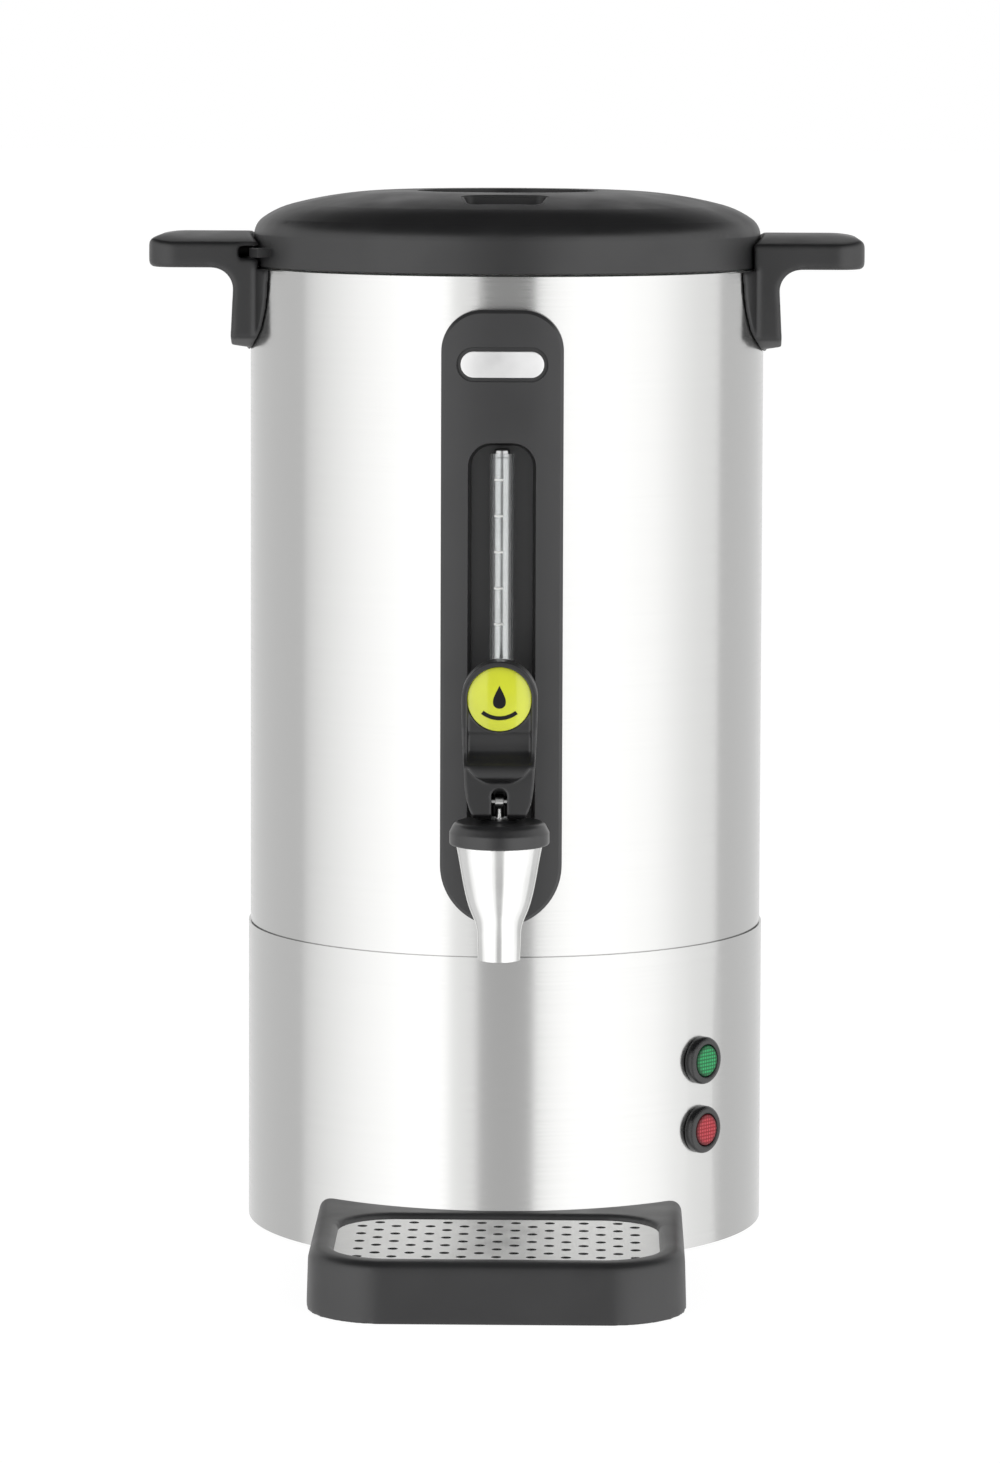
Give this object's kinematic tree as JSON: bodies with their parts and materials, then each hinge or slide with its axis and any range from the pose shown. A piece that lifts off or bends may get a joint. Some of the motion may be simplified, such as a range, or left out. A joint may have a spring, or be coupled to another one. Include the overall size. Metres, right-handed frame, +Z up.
{
  "type": "coffee urn",
  "caption": "Single-walled percolator coffee urn: steel tank on a heated base, self-closing tap, sight gauge, bayonet lid, side handles and a drip tray.",
  "frame": {"origin": "centre of the whole urn's footprint on the table, drip tray in place", "axes": "+Z up; the tap and drip tray point to -Y, the handles along X"},
  "size_m": [0.305, 0.3374, 0.4451],
  "materials": {
    "brushed_steel": "brushed stainless steel, grain round the body",
    "plain_steel": "plain stainless or zinc-plated steel",
    "badge_metal": "bare polished plate",
    "black_plastic": "fine-textured moulded black plastic",
    "black_electrical": "semi-gloss moulded black plastic",
    "chrome_tap": "polished chrome on brass",
    "shank_brass": "nickel-plated brass",
    "spring_steel": "drawn stainless wire",
    "clear_tube": "clear gauge tube",
    "silicone": "translucent silicone",
    "rubber": "black rubber",
    "lens_green": "green prismatic lamp lens",
    "lens_red": "red prismatic lamp lens",
    "disc_yellow": "yellow-green domed insert",
    "cast_aluminium": "cast aluminium",
    "ceramic": "white ceramic or phenolic",
    "wire_cover": "silicone-covered wire"
  },
  "bodies": {
    "root": {"tank": "brushed_steel", "base_skirt": "brushed_steel", "base_plate": "plain_steel", "base_screws": "plain_steel", "feet": "rubber", "heater_block": "cast_aluminium", "heater_element": "plain_steel", "keep_warm_element": "plain_steel", "thermostat": "ceramic", "thermal_cutout": "ceramic", "sensor_straps": "plain_steel", "terminal_block": "ceramic", "tap_shank": "shank_brass", "gauge_tee": "chrome_tap", "outer_washer": "silicone", "inner_washer": "silicone", "shank_nut": "shank_brass", "coupling_nut": "black_plastic", "gauge_tube": "clear_tube", "gauge_seal": "silicone", "gauge_cap": "silicone", "front_panel": "black_plastic", "badge_plate": "badge_metal", "panel_screws": "plain_steel", "tap_body": "chrome_tap", "tap_bonnet": "black_plastic", "tap_spring": "spring_steel", "handle_right": "black_plastic", "handle_left": "black_plastic", "handle_screws": "plain_steel", "lamp_bezel_green": "black_electrical", "lamp_bezel_red": "black_electrical", "lamp_lens_green": "lens_green", "lamp_lens_red": "lens_red", "lamp_nuts": "black_electrical", "rear_panel": "black_plastic", "power_inlet": "black_electrical", "inlet_pins": "shank_brass", "inlet_screws": "plain_steel", "switch_housing": "black_electrical", "internal_wires": "wire_cover"},
    "valve_stem": {"tap_stem": "chrome_tap", "seat_cup": "silicone", "lever_pin": "chrome_tap"},
    "lever": {"tap_lever": "black_plastic", "lever_disc": "disc_yellow"},
    "drip_tray": {"tray_body": "black_plastic"},
    "tray_grid": {"drip_grid": "plain_steel"},
    "seal_ring": {"lid_seal": "silicone"},
    "lid": {"lid_shell": "black_plastic", "lid_grip": "black_plastic", "lid_vent": "black_plastic", "lid_inner_pan": "plain_steel", "lid_screws": "plain_steel"},
    "basket": {"percolator_tube": "plain_steel", "filter_basket": "plain_steel"},
    "spreader": {"spreader_lid": "plain_steel"},
    "rocker": {"switch_rocker": "black_electrical"}
  },
  "joints": [
    {"name": "lid_lift", "type": "slide", "parent": "root", "child": "seal_ring", "axis": [0, 0, 1], "range_m": [0, 0.28]},
    {"name": "lid_turn", "type": "hinge", "parent": "seal_ring", "child": "lid", "pos_m": [0, 0.05133, 0.4125], "axis": [0, 0, 1], "range_deg": [-18, 0]},
    {"name": "basket_lift", "type": "slide", "parent": "root", "child": "basket", "axis": [0, 0, 1], "range_m": [0, 0.126]},
    {"name": "spreader_lift", "type": "slide", "parent": "basket", "child": "spreader", "axis": [0, 0, 1], "range_m": [0, 0.07]},
    {"name": "stem_lift", "type": "slide", "parent": "root", "child": "valve_stem", "axis": [0, 0, 1], "range_m": [0, 0.003], "deforming": ["tap_spring"]},
    {"name": "lever_pull", "type": "hinge", "parent": "valve_stem", "child": "lever", "pos_m": [0, -0.10167, 0.2008], "axis": [1, 0, 0], "range_deg": [0, 45], "stiffness_Nm_per_rad": 0.25, "springref_deg": -11.46},
    {"name": "tray_slide", "type": "slide", "parent": "root", "child": "drip_tray", "axis": [0, -1, 0], "range_m": [0, 0.12]},
    {"name": "grid_lift", "type": "slide", "parent": "drip_tray", "child": "tray_grid", "axis": [0, 0, 1], "range_m": [0, 0.06]},
    {"name": "power_switch", "type": "hinge", "parent": "root", "child": "rocker", "pos_m": [0, 0.16563, 0.088], "axis": [1, 0, 0], "range_deg": [-16, 0]}
  ],
  "couplings": [
    {"joint": "stem_lift", "follows": "lever_pull", "m_per_rad": 0.0038197},
    {"joint": "basket_lift", "follows": "lid_lift", "ratio": 0.45},
    {"joint": "spreader_lift", "follows": "lid_lift", "ratio": 0.25}
  ]
}
